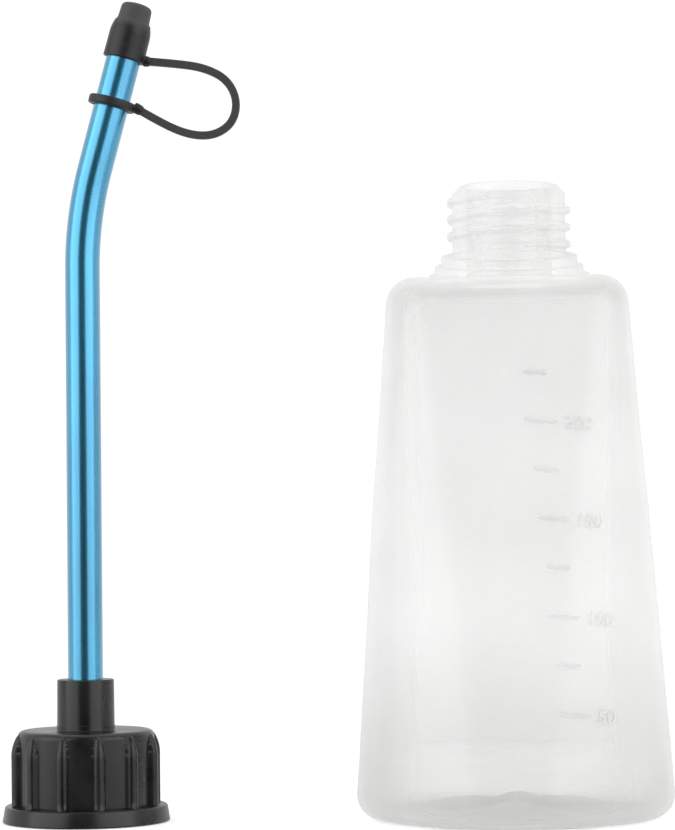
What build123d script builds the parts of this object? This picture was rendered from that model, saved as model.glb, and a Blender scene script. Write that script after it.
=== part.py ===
from build123d import *
import os
from math import cos, pi, radians, sin, sqrt, tan

# Squeeze bottle for gear oil, with its screw cap and bent spout taken off.
# Millimetres, +Z up. The bottle stands on z = 0 with its axis on the Z axis.
# The cap stands beside it on z = 0, and the spout leans towards the bottle.

# ---- bottle body -----------------------------------------------------------
shoulder_height = 108.6
turn_of_body = -5.5             # degrees that the four flats are turned about Z
base_flat_reach = 32.6          # axis to flat at the base
top_flat_reach = 23.7           # axis to flat at the shoulder
base_corner_past_flat = -0.5    # how much further out the soft corner panels lie than the flats
top_corner_past_flat = 6.7
base_corner_radius = 28.0
top_corner_radius = 7.0
bottle_wall = 1.0
base_edge_radius = 5.2
shoulder_edge_radius = 3.6
push_up_radius = 23.0           # hollow under the base
push_up_depth = 2.4

# ---- graduation marks ------------------------------------------------------
mark_proud = 0.3
mark_thickness = 0.8
short_mark_length = 4.6
long_mark_length = 6.4
mark_count = 8
first_mark_height = 22.2        # lowest mark, at 50 ml; the others follow at 25 ml steps
mark_spacing = 9.55
first_mark_x = 10.0
mark_x_step = -0.97             # the column of marks leans towards the axis going up

# ---- neck and thread -------------------------------------------------------
neck_height = 19.9              # shoulder to lip
neck_radius = 11.55
lip_bevel = 1.75
mouth_radius = 8.7
collar_steps = ((4.85, 1.8), (3.65, 3.6), (2.35, 5.6))  # past the neck, above the shoulder
collar_rounding = 0.5
thread_pitch = 3.5
thread_depth = 1.05
thread_root_width = 2.2
thread_crest_width = 0.9
neck_thread_rise = 7.7          # shoulder to the start of the thread
neck_thread_turns = 2.5
thread_sink = 0.25              # how far a ridge's root is sunk into its wall

# ---- screw cap -------------------------------------------------------------
cap_x = -87.2                   # cap axis, beside the bottle
thread_clearance = 0.25         # radial, between the two threads
skirt_wall = 1.0
cap_top_wall = 2.4
cap_rim_gap = 0.25              # rim to collar when the liner is on the lip
cap_edge_radius = 0.6
flange_height = 3.3
flange_base_proud = 3.15        # past the skirt, at the foot
flange_top_proud = 2.6
rib_count = 12
rib_proud = 1.45
rib_width = 2.6
rib_top_gap = 1.2               # cap top down to the ribs' points
rib_taper_height = 3.0
cap_thread_start = 5.2
cap_thread_turns = 2.0
boss_length = 10.25             # above the cap's top
boss_top_wall = 1.95
boss_waist_wall = 1.7
boss_collar_wall = 2.1
boss_collar_height = 1.0
boss_collar_gap = 0.35

# ---- liner, spout tube and its seal ---------------------------------------
liner_thickness = 2.0
liner_edge_clearance = 0.3
liner_hole_gap = 0.8            # radial, round the tube's flare
tube_radius = 3.55
tube_wall = 0.9
tube_running_fit = 0.05         # radial, tube in boss, ring and tip cap
bend_start_height = 112.1
bend_radius = 80.0
bend_angle = 15.0
tube_flare_proud = 1.35
tube_flare_height = 0.9
flare_gap = 0.1
ring_seal_section = 1.0         # thickness of the seal ring
ring_seal_depth = 4.5           # below the boss's top
ring_seal_gap = 0.03

# ---- tip cap and its tether -----------------------------------------------
tip_cap_start = 23.1            # along the upper tube from the end of the bend
tip_skirt_length = 6.6
tip_skirt_mouth_wall = 0.65
tip_skirt_top_wall = 0.48
tip_shoulder_length = 2.2
tip_dome_radius = 3.25
tip_dome_length = 3.25
tip_engagement = 5.8            # how far the tube's end stands in the tip cap
tube_end_gap = 0.1
tether_ring_start = 12.9        # along the upper tube from the end of the bend
tether_ring_wall = 1.27
tether_ring_thickness = 1.85
strap_diameter = 1.55
lug_diameter = 2.1
# centreline of the strap in the XZ plane, from the cap's axis, chosen by hand
strap_route = (
    (13.70, 154.70),
    (19.60, 154.20),
    (25.30, 153.30),
    (29.90, 150.90),
    (32.00, 146.60),
    (31.10, 142.00),
    (27.40, 139.40),
    (22.60, 139.40),
    (17.10, 141.60),
    (12.00, 144.70),
)

os.makedirs("parts", exist_ok=True)

# ---- sizes that follow from those above ------------------------------------
lip_height = shoulder_height + neck_height
neck_thread_start = shoulder_height + neck_thread_rise
collar_height = collar_steps[-1][1]
cap_bore_radius = neck_radius + thread_depth + thread_clearance
skirt_radius = cap_bore_radius + skirt_wall
cap_ceiling = neck_height - collar_height - cap_rim_gap + liner_thickness
cap_height = cap_ceiling + cap_top_wall
boss_height = cap_height + boss_length
tube_bore_radius = tube_radius + tube_running_fit
bend_top = bend_start_height + bend_radius * sin(radians(bend_angle))
bend_x = cap_x + bend_radius * (1 - cos(radians(bend_angle)))
upper_axis = Vector(sin(radians(bend_angle)), 0, cos(radians(bend_angle)))
bend_end = Vector(bend_x, 0, bend_top)


def on_upper_axis(distance):
    """Plane across the upper tube, that far above the end of the bend."""
    return Plane(origin=bend_end + upper_axis * distance, x_dir=(0, 1, 0), z_dir=upper_axis)


def between(low, high, height):
    """Value at a height of something that runs evenly from base to shoulder."""
    return low + (high - low) * height / shoulder_height


def soft_octagon(height, inset=0.0):
    """Cross-section of the body: four flats and four soft corner panels."""
    flat = between(base_flat_reach, top_flat_reach, height) - inset
    corner = flat + between(base_corner_past_flat, top_corner_past_flat, height)
    half = corner * sqrt(2) - flat
    shortest_half = min(half, flat * sqrt(2) - corner)
    rounding = min(
        between(base_corner_radius, top_corner_radius, height) - inset,
        0.98 * shortest_half / tan(radians(22.5)),
    )
    outline = [
        (flat, -half), (flat, half), (half, flat), (-half, flat),
        (-flat, half), (-flat, -half), (-half, -flat), (half, -flat),
    ]
    turned = Plane.XY.rotated((0, 0, turn_of_body)).offset(height)
    with BuildSketch(turned) as section:
        Polygon(*outline, align=None)
        fillet(section.vertices(), rounding)
    return section.sketch


def body_shape(floor, top, inset, base_round, top_round):
    """Closed solid of the body between two heights, with its edges rounded."""
    with BuildPart() as shape:
        add(soft_octagon(floor, inset))
        add(soft_octagon(top, inset))
        loft()
        fillet(shape.faces().sort_by(Axis.Z)[0].edges(), base_round)
        fillet(shape.faces().sort_by(Axis.Z)[-1].edges(), top_round)
    return shape.part


def thread_ridge(wall_radius, start, turns, outward):
    """Helical ridge on a round wall, pointing outward (1) or inward (-1)."""
    root = wall_radius - outward * thread_sink
    crest = wall_radius + outward * thread_depth
    with BuildPart() as ridge:
        with BuildLine(Plane.XY.offset(start)) as path:
            Helix(pitch=thread_pitch, height=thread_pitch * turns, radius=wall_radius)
        with BuildSketch(Plane.XZ) as profile:
            Polygon(
                (root, start - thread_root_width / 2),
                (crest, start - thread_crest_width / 2),
                (crest, start + thread_crest_width / 2),
                (root, start + thread_root_width / 2),
                align=None,
            )
        sweep(path=path.wire(), is_frenet=True)
    return ridge.part


# ---- bottle ----------------------------------------------------------------
push_up_sphere = (push_up_radius**2 + push_up_depth**2) / (2 * push_up_depth)

with BuildPart() as marks:
    add(body_shape(0, shoulder_height, -mark_proud, base_edge_radius, shoulder_edge_radius))
    with BuildSketch(Plane.XZ.offset(base_flat_reach / 2)) as mark_faces:
        for index in range(mark_count):
            length = short_mark_length if index % 2 else long_mark_length
            middle = first_mark_x + mark_x_step * index
            with Locations((middle, first_mark_height + mark_spacing * index)):
                Rectangle(length, mark_thickness)
    extrude(amount=base_flat_reach, mode=Mode.INTERSECT)

with BuildPart() as hollow:
    add(
        body_shape(
            bottle_wall,
            shoulder_height - bottle_wall,
            bottle_wall,
            base_edge_radius - bottle_wall,
            shoulder_edge_radius - bottle_wall,
        )
    )
    with Locations((0, 0, push_up_depth - push_up_sphere)):
        Sphere(push_up_sphere + bottle_wall, mode=Mode.SUBTRACT)
    with Locations((0, 0, shoulder_height - 2 * bottle_wall)):
        mouth_length = lip_height - shoulder_height + 3 * bottle_wall
        Cylinder(mouth_radius, mouth_length, align=(Align.CENTER, Align.CENTER, Align.MIN))

with BuildPart() as bottle:
    add(body_shape(0, shoulder_height, 0, base_edge_radius, shoulder_edge_radius))
    with Locations((0, 0, push_up_depth - push_up_sphere)):
        Sphere(push_up_sphere, mode=Mode.SUBTRACT)
    add(marks.part)
    neck_foot = shoulder_height - bottle_wall / 2
    for ring_proud, ring_rise in collar_steps:
        with BuildSketch(Plane.XY.offset(neck_foot)):
            Circle(neck_radius + ring_proud)
        extrude(amount=shoulder_height + ring_rise - neck_foot)
        fillet(bottle.faces().sort_by(Axis.Z)[-1].edges(), collar_rounding)
    with BuildSketch(Plane.XY.offset(neck_foot)):
        Circle(neck_radius)
    extrude(amount=lip_height - neck_foot)
    chamfer(bottle.faces().sort_by(Axis.Z)[-1].edges(), lip_bevel)
    add(thread_ridge(neck_radius, neck_thread_start, neck_thread_turns, 1))
    add(hollow.part, mode=Mode.SUBTRACT)
bottle.part.label = "bottle"
export_step(bottle.part, "parts/bottle.step")

# ---- screw cap -------------------------------------------------------------
at_cap = Plane.XY.move(Location((cap_x, 0, 0)))
rib_top = cap_height - rib_top_gap

with BuildPart() as rib:
    with BuildSketch(Plane.XZ) as rib_side:
        with BuildLine():
            rib_foot = Line((0, flange_height - 0.5), (skirt_radius + rib_proud, flange_height - 0.5))
            rib_face = Line(rib_foot @ 1, (skirt_radius + rib_proud, rib_top - rib_taper_height))
            rib_point = TangentArc(rib_face @ 1, (skirt_radius - 0.2, rib_top), tangent=(0, 1))
            Polyline(rib_point @ 1, (0, rib_top), rib_foot @ 0)
        make_face()
    extrude(amount=rib_width / 2, both=True)
    with BuildSketch() as rib_plan:
        with Locations((skirt_radius + rib_proud - rib_width / 2, 0)):
            Circle(rib_width / 2)
        with Locations((skirt_radius + rib_proud - rib_width / 2, 0)):
            Rectangle(rib_proud + skirt_wall, rib_width, align=(Align.MAX, Align.CENTER))
    extrude(amount=cap_height, mode=Mode.INTERSECT)

with BuildPart() as cap_body:
    Cylinder(skirt_radius, cap_height, align=(Align.CENTER, Align.CENTER, Align.MIN))
    fillet(cap_body.faces().sort_by(Axis.Z)[-1].edges(), cap_edge_radius)
    with PolarLocations(0, rib_count, start_angle=15):
        add(rib.part)
    Cone(
        skirt_radius + flange_base_proud,
        skirt_radius + flange_top_proud,
        flange_height,
        align=(Align.CENTER, Align.CENTER, Align.MIN),
    )
    with BuildSketch(Plane.XZ) as boss_side:
        with BuildLine():
            foot = cap_height - cap_edge_radius
            collar_foot = cap_height + boss_collar_gap
            collar_top = collar_foot + boss_collar_height
            waist = tube_bore_radius + boss_waist_wall
            Polyline(
                (0, foot),
                (waist, foot),
                (waist, collar_foot),
                (tube_bore_radius + boss_collar_wall, collar_foot),
                (tube_bore_radius + boss_collar_wall, collar_top),
                (waist, collar_top + boss_collar_gap),
                (tube_bore_radius + boss_top_wall, boss_height),
                (0, boss_height),
                close=True,
            )
        make_face()
    revolve(axis=Axis.Z)
    Cylinder(
        cap_bore_radius, cap_ceiling, align=(Align.CENTER, Align.CENTER, Align.MIN), mode=Mode.SUBTRACT
    )
    Cylinder(
        tube_bore_radius, boss_height, align=(Align.CENTER, Align.CENTER, Align.MIN), mode=Mode.SUBTRACT
    )
    with Locations((0, 0, boss_height - ring_seal_depth)):
        Cylinder(
            tube_radius + ring_seal_gap + ring_seal_section, ring_seal_section, mode=Mode.SUBTRACT
        )
    add(thread_ridge(cap_bore_radius, cap_thread_start, cap_thread_turns, -1))

with BuildPart() as screw_cap:
    add(cap_body.part.moved(Location((cap_x, 0, 0))))
screw_cap.part.label = "screw_cap"
export_step(screw_cap.part, "parts/screw_cap.step")

# ---- cap liner -------------------------------------------------------------
with BuildPart() as cap_liner:
    with BuildSketch(at_cap.offset(cap_ceiling)):
        Circle(cap_bore_radius - liner_edge_clearance)
        Circle(tube_radius + tube_flare_proud + liner_hole_gap, mode=Mode.SUBTRACT)
    extrude(amount=-liner_thickness)
cap_liner.part.label = "cap_liner"
export_step(cap_liner.part, "parts/cap_liner.step")

# ---- seal ring in the boss -------------------------------------------------
with BuildPart() as tube_seal:
    with BuildSketch(Plane.XZ):
        ring_middle = cap_x + tube_radius + ring_seal_gap + ring_seal_section / 2
        with Locations((ring_middle, boss_height - ring_seal_depth)):
            Circle(ring_seal_section / 2)
    revolve(axis=Axis((cap_x, 0, 0), (0, 0, 1)))
tube_seal.part.label = "tube_seal"
export_step(tube_seal.part, "parts/tube_seal.step")

# ---- spout tube ------------------------------------------------------------
flare_top = cap_ceiling - flare_gap
tube_end = on_upper_axis(tip_cap_start + tip_engagement).origin

with BuildPart() as spout_tube:
    with BuildLine() as tube_line:
        upright = Line((cap_x, 0, flare_top), (cap_x, 0, bend_start_height))
        bend = TangentArc(upright @ 1, bend_end, tangent=(0, 0, 1))
        Line(bend @ 1, tube_end)
    with BuildSketch(at_cap.offset(flare_top)):
        Circle(tube_radius)
        Circle(tube_radius - tube_wall, mode=Mode.SUBTRACT)
    sweep(path=tube_line.wire())
    with BuildSketch(at_cap.offset(flare_top)):
        Circle(tube_radius + tube_flare_proud)
        Circle(tube_radius - tube_wall, mode=Mode.SUBTRACT)
    extrude(amount=-tube_flare_height)
spout_tube.part.label = "spout_tube"
export_step(spout_tube.part, "parts/spout_tube.step")

# ---- tip cap ---------------------------------------------------------------
strap_start = Vector(cap_x + strap_route[0][0], 0, strap_route[0][1])
strap_second = Vector(cap_x + strap_route[1][0], 0, strap_route[1][1])
strap_end = Vector(cap_x + strap_route[-1][0], 0, strap_route[-1][1])
strap_before_end = Vector(cap_x + strap_route[-2][0], 0, strap_route[-2][1])
tip_mouth = on_upper_axis(tip_cap_start)
tip_side = Plane(origin=tip_mouth.origin, x_dir=upper_axis.cross(Vector(0, 1, 0)) * -1, z_dir=(0, -1, 0))
lug_back = 2.6

with BuildPart() as tip_cap:
    with BuildSketch(tip_side):
        with BuildLine():
            skirt_top = tip_skirt_length
            dome_start = skirt_top + tip_shoulder_length
            foot = Line((0, 0), (tube_bore_radius + tip_skirt_mouth_wall, 0))
            skirt = Line(foot @ 1, (tube_bore_radius + tip_skirt_top_wall, skirt_top))
            shoulder = Spline(
                skirt @ 1, (tip_dome_radius, dome_start), tangents=((-0.15, 1), (0, 1))
            )
            dome = RadiusArc(shoulder @ 1, (0, dome_start + tip_dome_length), -tip_dome_radius)
            Line(dome @ 1, foot @ 0)
        make_face()
    revolve(axis=Axis(tip_mouth.origin, upper_axis))
    with BuildSketch(Plane(origin=strap_start, z_dir=strap_second - strap_start)):
        Circle(lug_diameter / 2)
    extrude(amount=-lug_back)
    with BuildSketch(tip_mouth.offset(-lug_diameter)):
        Circle(tube_bore_radius)
    extrude(amount=lug_diameter + tip_engagement + tube_end_gap, mode=Mode.SUBTRACT)
tip_cap.part.label = "tip_cap"
export_step(tip_cap.part, "parts/tip_cap.step")

# ---- tether ring -----------------------------------------------------------
ring_foot = on_upper_axis(tether_ring_start)

with BuildPart() as tether_ring:
    with BuildSketch(ring_foot):
        Circle(tube_bore_radius + tether_ring_wall)
    extrude(amount=tether_ring_thickness)
    fillet(tether_ring.edges(), tether_ring_thickness / 4)
    with BuildSketch(Plane(origin=strap_end, z_dir=strap_before_end - strap_end)):
        Circle(lug_diameter / 2)
    extrude(amount=-lug_back)
    with BuildSketch(ring_foot.offset(-tether_ring_thickness)):
        Circle(tube_bore_radius)
    extrude(amount=3 * tether_ring_thickness, mode=Mode.SUBTRACT)
tether_ring.part.label = "tether_ring"
export_step(tether_ring.part, "parts/tether_ring.step")

# ---- tether strap ----------------------------------------------------------
strap_points = [Vector(cap_x + x, 0, z) for x, z in strap_route]
strap_runs = [after - before for before, after in zip(strap_points, strap_points[1:])]
strap_radii = [
    0.45 * min(before.length, after.length) / tan(radians(before.get_angle(after)) / 2)
    for before, after in zip(strap_runs, strap_runs[1:])
]

with BuildPart() as tether_strap:
    with BuildLine() as strap_line:
        FilletPolyline(*strap_points, radius=strap_radii)
    with BuildSketch(Plane(origin=strap_points[0], z_dir=strap_runs[0])):
        Circle(strap_diameter / 2)
    sweep(path=strap_line.wire())
tether_strap.part.label = "tether_strap"
export_step(tether_strap.part, "parts/tether_strap.step")

print("strap radii", [round(radius, 1) for radius in strap_radii])
print("strap length", round(strap_line.wire().length, 1))
print("strap volume", round(tether_strap.part.volume, 2))
print("strap section by length", round(pi / 4 * strap_diameter**2 * strap_line.wire().length, 2))
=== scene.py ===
"""Looks of a squeeze bottle for gear oil, with its screw cap and bent spout taken off.

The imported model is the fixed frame. Each class below is one sub-assembly or one finish.
Sizes held by the classes are in millimetres, and points become metres when a mesh is made.
Only the finishes, the strap's route and the studio are in metres throughout.
"""

import logging
import math
from dataclasses import dataclass, field
from enum import Enum
from typing import Any, Optional, Sequence, Union

import bpy
import numpy as np
from mathutils import Matrix, Vector


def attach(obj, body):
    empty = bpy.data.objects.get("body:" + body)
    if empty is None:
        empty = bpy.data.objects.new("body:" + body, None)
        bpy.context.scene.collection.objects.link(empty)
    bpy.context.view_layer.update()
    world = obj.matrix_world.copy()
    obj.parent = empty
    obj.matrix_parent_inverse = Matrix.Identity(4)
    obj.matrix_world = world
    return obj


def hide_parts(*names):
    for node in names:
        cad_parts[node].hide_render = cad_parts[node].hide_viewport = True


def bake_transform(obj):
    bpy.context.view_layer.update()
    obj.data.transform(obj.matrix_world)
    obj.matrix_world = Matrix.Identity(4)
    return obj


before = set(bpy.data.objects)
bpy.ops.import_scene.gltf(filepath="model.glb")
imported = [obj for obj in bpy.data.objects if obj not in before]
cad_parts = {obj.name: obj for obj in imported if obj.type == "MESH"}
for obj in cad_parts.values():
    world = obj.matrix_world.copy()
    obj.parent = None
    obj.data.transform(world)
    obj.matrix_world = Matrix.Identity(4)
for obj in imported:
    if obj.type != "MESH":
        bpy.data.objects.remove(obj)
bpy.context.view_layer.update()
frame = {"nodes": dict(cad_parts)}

LOG = logging.getLogger("bottle_scene")
MM = 0.001
FULL_TURN = 2 * math.pi
EIGHTH = FULL_TURN / 8
SHARP_EDGE = math.radians(50)
DEEP = np.array([0.0, 1.0, 0.0])

Field = Union[float, np.ndarray]
Colour = tuple[float, float, float, float]


# ---- small helpers on numbers ------------------------------------------------


def mix(low: Field, high: Field, share: float) -> Field:
    """Value that runs evenly from low at 0 to high at 1."""
    return low + (high - low) * share


def smooth(share: np.ndarray) -> np.ndarray:
    """Eased step from 0 to 1, flat at both ends."""
    held = np.clip(share, 0.0, 1.0)
    return held * held * (3 - 2 * held)


def soft_min(first: np.ndarray, second: np.ndarray, blend: float) -> np.ndarray:
    """Smaller of two heights, rounded where they cross.

    Args:
        first: One set of heights.
        second: The other set.
        blend: Width of the rounding, in the same unit.

    Returns:
        The joined heights.
    """
    near = np.clip(0.5 + 0.5 * (second - first) / blend, 0.0, 1.0)
    return second * (1 - near) + first * near - blend * near * (1 - near)


def soft_max(first: np.ndarray, second: np.ndarray, blend: float) -> np.ndarray:
    """Larger of two heights, rounded where they cross."""
    return -soft_min(-first, -second, blend)


def round_row(angles: np.ndarray, radius: Field, height: Field, axis: float = 0.0) -> np.ndarray:
    """Round row of points about an upright axis.

    Args:
        angles: Where the points lie round the axis.
        radius: Distance from the axis, the same all round or one for each point.
        height: Level, likewise.
        axis: Place of the axis along X.

    Returns:
        The points.
    """
    radii = np.broadcast_to(radius, angles.shape)
    levels = np.broadcast_to(height, angles.shape)
    return np.stack([axis + radii * np.cos(angles), radii * np.sin(angles), levels], 1)


def grey(level: float) -> Colour:
    """Neutral colour of that lightness."""
    return (level, level, level, 1.0)


@dataclass(frozen=True)
class Corner:
    """Corner of a turned profile: distance from the axis, height, and its rounding."""

    radius: float
    height: float
    rounding: float = 0.0


def rounded_profile(corners: Sequence[Corner], steps: int = 4) -> list[tuple[float, float]]:
    """Rounds the corners of a profile.

    Args:
        corners: Corners in order; the first and last stay sharp.
        steps: Pieces in each rounding.

    Returns:
        Pairs of radius and height along the profile.
    """
    points = np.array([(c.radius, c.height) for c in corners])
    made = [tuple(points[0])]
    for before, here, after, corner in zip(points, points[1:], points[2:], corners[1:]):
        into, out = here - before, after - here
        reach = min(corner.rounding, 0.45 * np.linalg.norm(into), 0.45 * np.linalg.norm(out))
        if reach < 1e-4:
            made.append(tuple(here))
            continue
        start = here - into / np.linalg.norm(into) * reach
        end = here + out / np.linalg.norm(out) * reach
        for share in np.linspace(0, 1, steps + 1):
            curve = start * (1 - share) ** 2 + here * 2 * share * (1 - share) + end * share**2
            made.append(tuple(curve))
    made.append(tuple(points[-1]))
    return made


# ---- meshes ------------------------------------------------------------------


class Ends(Enum):
    """What closes the first and the last row of a grid."""

    POLES = "poles"
    LOOP = "loop"
    FLAT = "flat"


@dataclass
class Grid:
    """Closed surface made of rows of points that run round an axis."""

    name: str
    rows: list[np.ndarray] = field(default_factory=list)

    def add(self, row: np.ndarray) -> None:
        """Adds one row of points, in millimetres."""
        self.rows.append(np.asarray(row, float))

    def build(self, ends: Ends) -> bpy.types.Object:
        """Makes the object.

        Args:
            ends: How the first and last row are closed.

        Returns:
            The new object, smooth shaded, with its crisp edges marked.
        """
        columns = len(self.rows[0])
        count = len(self.rows)
        across = range(columns)
        last = count if ends is Ends.LOOP else count - 1
        faces = [
            (
                i * columns + j,
                i * columns + (j + 1) % columns,
                (i + 1) % count * columns + (j + 1) % columns,
                (i + 1) % count * columns + j,
            )
            for i in range(last)
            for j in across
        ]
        vertices = np.concatenate(self.rows)
        if ends is Ends.POLES:
            poles = [self.rows[0].mean(0), self.rows[-1].mean(0)]
            low, high = len(vertices), len(vertices) + 1
            vertices = np.concatenate([vertices, poles])
            top = (count - 1) * columns
            faces += [(low, (j + 1) % columns, j) for j in across]
            faces += [(high, top + j, top + (j + 1) % columns) for j in across]
        if ends is Ends.FLAT:
            faces.append(tuple(reversed(across)))
            faces.append(tuple((count - 1) * columns + j for j in across))
        return made_object(self.name, vertices * MM, faces)


def made_object(
    name: str, vertices: np.ndarray, faces: Sequence[Sequence[int]]
) -> bpy.types.Object:
    """Links a smooth shaded mesh object.

    Args:
        name: Name of the piece.
        vertices: Points, in metres.
        faces: Corners of each face.

    Returns:
        The new object.
    """
    mesh = bpy.data.meshes.new(name)
    mesh.from_pydata(vertices.tolist(), [], [tuple(f) for f in faces])
    mesh.validate()
    mesh.shade_smooth()
    mesh.set_sharp_from_angle(angle=SHARP_EDGE)
    made = bpy.data.objects.new(name, mesh)
    bpy.context.scene.collection.objects.link(made)
    return made


def evaluated_mesh(holder: bpy.types.Object) -> bpy.types.Mesh:
    """Mesh of an object as its modifiers or its curve's settings make it."""
    bpy.context.view_layer.update()
    graph = bpy.context.evaluated_depsgraph_get()
    return bpy.data.meshes.new_from_object(holder.evaluated_get(graph))


def curve_mesh(curve: bpy.types.Curve) -> bpy.types.Mesh:
    """Mesh of a curve or a text, which needs an object for a moment."""
    holder = bpy.data.objects.new(curve.name, curve)
    bpy.context.scene.collection.objects.link(holder)
    mesh = evaluated_mesh(holder)
    bpy.data.objects.remove(holder)
    return mesh


def joined(name: str, parts: Sequence[bpy.types.Object]) -> bpy.types.Object:
    """Joins several mesh objects into one.

    Args:
        name: Name of the joined piece.
        parts: The objects, which are removed.

    Returns:
        The joined object.
    """
    vertices: list[tuple[float, float, float]] = []
    faces: list[tuple[int, ...]] = []
    for part in parts:
        start = len(vertices)
        vertices += [tuple(v.co) for v in part.data.vertices]
        faces += [tuple(start + i for i in p.vertices) for p in part.data.polygons]
        bpy.data.objects.remove(part)
    return made_object(name, np.array(vertices), faces)


def moulded(
    name: str, parts: Sequence[bpy.types.Object], voxel: float, passes: int
) -> bpy.types.Object:
    """Melts several closed bodies into one soft moulding.

    Args:
        name: Name of the moulding.
        parts: The bodies, which are removed.
        voxel: Size of the remesh, in millimetres.
        passes: Smoothing passes after it.

    Returns:
        One closed object.
    """
    piece = joined(name, parts)
    remesh = piece.modifiers.new("melt", "REMESH")
    remesh.mode = "VOXEL"
    remesh.voxel_size = voxel * MM
    remesh.adaptivity = 0.0
    relax = piece.modifiers.new("relax", "SMOOTH")
    relax.factor = 0.5
    relax.iterations = passes
    mesh = evaluated_mesh(piece)
    mesh.name = name
    mesh.shade_smooth()
    piece.modifiers.clear()
    piece.data = mesh
    return piece


# ---- shader nodes ------------------------------------------------------------


class Wire:
    """Output socket that takes part in arithmetic on single values."""

    def __init__(self, nodes: "Nodes", socket: bpy.types.NodeSocket) -> None:
        """Wraps one socket of a node tree."""
        self.nodes = nodes
        self.socket = socket

    def _math(self, operation: str, *values: Any) -> "Wire":
        """Math node on the given values, in that order."""
        inputs = dict(enumerate(values))
        return self.nodes.node("ShaderNodeMath", {"operation": operation}, inputs)

    def __add__(self, other: Any) -> "Wire":
        """Sum."""
        return self._math("ADD", self, other)

    __radd__ = __add__

    def __mul__(self, other: Any) -> "Wire":
        """Product."""
        return self._math("MULTIPLY", self, other)

    __rmul__ = __mul__


class Nodes:
    """Node tree being made, with its output node."""

    def __init__(self, tree: bpy.types.NodeTree, output: str) -> None:
        """Empties the tree, and makes its output node."""
        self.tree = tree
        self.tree.nodes.clear()
        self.output = self.tree.nodes.new(output)

    def node(
        self,
        kind: str,
        settings: Optional[dict[str, Any]] = None,
        inputs: Optional[dict[Union[str, int], Any]] = None,
        output: Union[str, int] = 0,
    ) -> Wire:
        """Makes one node.

        Args:
            kind: Type of the node.
            settings: Its settings, set first.
            inputs: Values or wires of its sockets, by name or number.
            output: The socket given back.

        Returns:
            The wire from that socket.
        """
        made = self.tree.nodes.new(kind)
        for key, value in (settings or {}).items():
            setattr(made, key, value)
        for key, value in (inputs or {}).items():
            self.plug(made.inputs[key], value)
        return Wire(self, made.outputs[output])

    def plug(self, socket: bpy.types.NodeSocket, value: Any) -> None:
        """Links a wire to a socket, or sets the socket to a constant."""
        if isinstance(value, Wire):
            self.tree.links.new(value.socket, socket)
        else:
            socket.default_value = value

    def spread(self, value: Wire, low: float, high: float, at_low: float, at_high: float) -> Wire:
        """Maps values from low..high to at_low..at_high, eased and held at both ends."""
        settings = {"interpolation_type": "SMOOTHSTEP"}
        inputs = {"Value": value, 1: low, 2: high, 3: at_low, 4: at_high}
        return self.node("ShaderNodeMapRange", settings, inputs)


class Surface(Nodes):
    """Material being made: its nodes, and the shader that they feed."""

    def __init__(self, name: str) -> None:
        """Starts a tree with one Principled shader."""
        self.material = bpy.data.materials.new(name)
        self.material.use_nodes = True
        super().__init__(self.material.node_tree, "ShaderNodeOutputMaterial")
        shading = self.node("ShaderNodeBsdfPrincipled")
        self.shader = shading.socket.node
        self.plug(self.output.inputs[0], shading)

    def set(self, **values: Any) -> None:
        """Feeds sockets of the shader; an underscore in a name stands for a space."""
        for key, value in values.items():
            self.plug(self.shader.inputs[key.replace("_", " ")], value)

    def place(self, stretch: tuple[float, float, float] = (1, 1, 1)) -> Wire:
        """Position on the piece, in metres, stretched along the three axes."""
        here = self.node("ShaderNodeTexCoord", output="Object")
        settings = {"operation": "MULTIPLY"}
        return self.node("ShaderNodeVectorMath", settings, {0: here, 1: stretch})

    def noise(
        self,
        scale: float,
        detail: float = 3.0,
        stretch: tuple[float, float, float] = (1, 1, 1),
    ) -> Wire:
        """Noise from 0 to 1.

        Args:
            scale: Bumps in a metre.
            detail: Finer layers added.
            stretch: Factors along the three axes.

        Returns:
            The wire of its values.
        """
        inputs = {"Vector": self.place(stretch), "Scale": scale, "Detail": detail}
        return self.node("ShaderNodeTexNoise", {}, inputs, "Fac")

    def blend(self, share: Wire, low: Any, high: Any) -> Wire:
        """Colour between two others."""
        settings = {"data_type": "RGBA"}
        inputs = {0: share, 6: low, 7: high}
        return self.node("ShaderNodeMix", settings, inputs, 2)

    def bump(self, height: Wire, depth: float, below: Optional[Wire] = None) -> Wire:
        """Normal of a relief.

        Args:
            height: Relief from 0 to 1.
            depth: Its depth, in metres.
            below: A relief that this one lies on.

        Returns:
            The wire of the normal.
        """
        inputs: dict[Union[str, int], Any] = {"Height": height, "Distance": depth, "Strength": 1.0}
        if below is not None:
            inputs["Normal"] = below
        return self.node("ShaderNodeBump", {}, inputs)


# ---- finishes ----------------------------------------------------------------


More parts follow.
